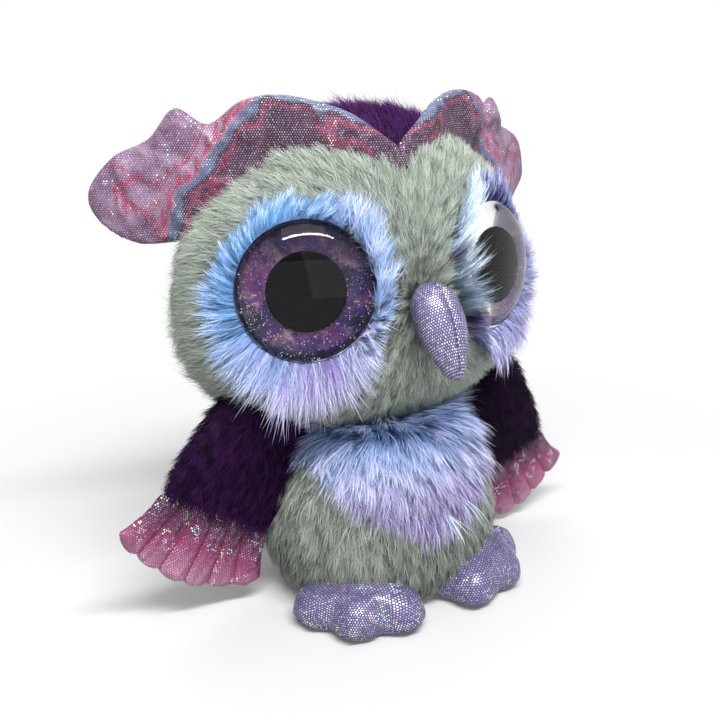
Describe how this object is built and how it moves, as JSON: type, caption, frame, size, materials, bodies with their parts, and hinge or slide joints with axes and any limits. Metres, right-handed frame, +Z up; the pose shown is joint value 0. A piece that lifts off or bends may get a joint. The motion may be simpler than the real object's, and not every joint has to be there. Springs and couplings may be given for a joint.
{
  "type": "plush owl toy",
  "caption": "Soft plush owl with a broad round head, large domed plastic eyes, padded beak, scalloped ears, fan-ended wings and lobed feet, standing on a flat base.",
  "frame": {"origin": "middle of the flat base panel, on the surface that the toy stands on", "axes": "+Z up, the owl looks along -Y, its right side is -X"},
  "size_m": [0.2412, 0.1396, 0.2221],
  "materials": {
    "grey_plush": "short grey plush pile",
    "purple_plush": "short deep purple plush pile",
    "long_plush": "long silky pile, blue to lilac with white tips",
    "base_cloth": "grey knitted cloth",
    "fibre_fill": "white fibre filling",
    "pellet_cloth": "thin cloth pouch of plastic pellets",
    "lilac_foil": "lilac cloth with holographic foil dots",
    "pink_foil": "pink cloth with holographic foil dots",
    "print_foil": "mauve printed cloth with foil dots",
    "ear_lining": "plain mauve cloth",
    "clear_dome": "clear polished acrylic",
    "iris_print": "mottled violet print with fine glitter",
    "black_plastic": "black gloss",
    "white_plastic": "natural nylon"
  },
  "bodies": {
    "torso": {"body_front_skin": "grey_plush", "body_back_skin": "grey_plush", "base_panel": "base_cloth", "chest_patch": "long_plush", "body_stuffing": "fibre_fill", "pellet_pouch": "pellet_cloth"},
    "head": {"face_skin": "grey_plush", "hood_skin": "purple_plush", "head_stuffing": "fibre_fill", "beak_skin": "lilac_foil", "beak_stuffing": "fibre_fill", "right_eye_patch": "long_plush", "right_eye_post": "black_plastic", "right_eye_washer": "white_plastic", "right_iris_disc": "iris_print", "right_pupil_disc": "black_plastic", "right_eye_lens": "clear_dome", "left_eye_patch": "long_plush", "left_eye_post": "black_plastic", "left_eye_washer": "white_plastic", "left_iris_disc": "iris_print", "left_pupil_disc": "black_plastic", "left_eye_lens": "clear_dome"},
    "right_ear": {"right_ear_front": "print_foil", "right_ear_wadding": "fibre_fill", "right_ear_back": "ear_lining"},
    "left_ear": {"left_ear_front": "print_foil", "left_ear_wadding": "fibre_fill", "left_ear_back": "ear_lining"},
    "right_wing": {"right_wing_sleeve": "purple_plush", "right_wing_stuffing": "fibre_fill", "right_feather_front": "pink_foil", "right_feather_back": "pink_foil", "right_feather_wadding": "fibre_fill"},
    "left_wing": {"left_wing_sleeve": "purple_plush", "left_wing_stuffing": "fibre_fill", "left_feather_front": "pink_foil", "left_feather_back": "pink_foil", "left_feather_wadding": "fibre_fill"},
    "right_foot": {"right_foot_upper": "lilac_foil", "right_foot_stuffing": "fibre_fill", "right_foot_sole": "lilac_foil"},
    "left_foot": {"left_foot_upper": "lilac_foil", "left_foot_stuffing": "fibre_fill", "left_foot_sole": "lilac_foil"}
  },
  "joints": [
    {"name": "head_turn", "type": "hinge", "parent": "torso", "child": "head", "pos_m": [0, 0.009, 0.08], "axis": [0, 0, 1], "range_deg": [-20, 20], "stiffness_Nm_per_rad": 0.15},
    {"name": "right_ear_fold", "type": "hinge", "parent": "head", "child": "right_ear", "pos_m": [-0.05097, 0.01367, 0.20056], "axis": [0.7453, -0.4047, 0.5299], "range_deg": [-20, 20], "stiffness_Nm_per_rad": 0.01},
    {"name": "left_ear_fold", "type": "hinge", "parent": "head", "child": "left_ear", "pos_m": [0.05097, 0.01367, 0.20056], "axis": [0.7453, 0.4047, -0.5299], "range_deg": [-20, 20], "stiffness_Nm_per_rad": 0.01},
    {"name": "right_wing_flap", "type": "hinge", "parent": "torso", "child": "right_wing", "pos_m": [-0.03657, 0.003, 0.08365], "axis": [0.5446, 0, 0.8387], "range_deg": [-15, 25], "stiffness_Nm_per_rad": 0.05},
    {"name": "left_wing_flap", "type": "hinge", "parent": "torso", "child": "left_wing", "pos_m": [0.03776, 0.003, 0.08119], "axis": [0.3584, 0, -0.9336], "range_deg": [-15, 25], "stiffness_Nm_per_rad": 0.05},
    {"name": "right_foot_flex", "type": "hinge", "parent": "torso", "child": "right_foot", "pos_m": [-0.03429, -0.03828, 0.0174], "axis": [-0.809, 0.5878, 0], "range_deg": [0, 14], "stiffness_Nm_per_rad": 0.05},
    {"name": "left_foot_flex", "type": "hinge", "parent": "torso", "child": "left_foot", "pos_m": [0.03429, -0.03828, 0.0174], "axis": [-0.809, -0.5878, 0], "range_deg": [0, 14], "stiffness_Nm_per_rad": 0.05}
  ]
}
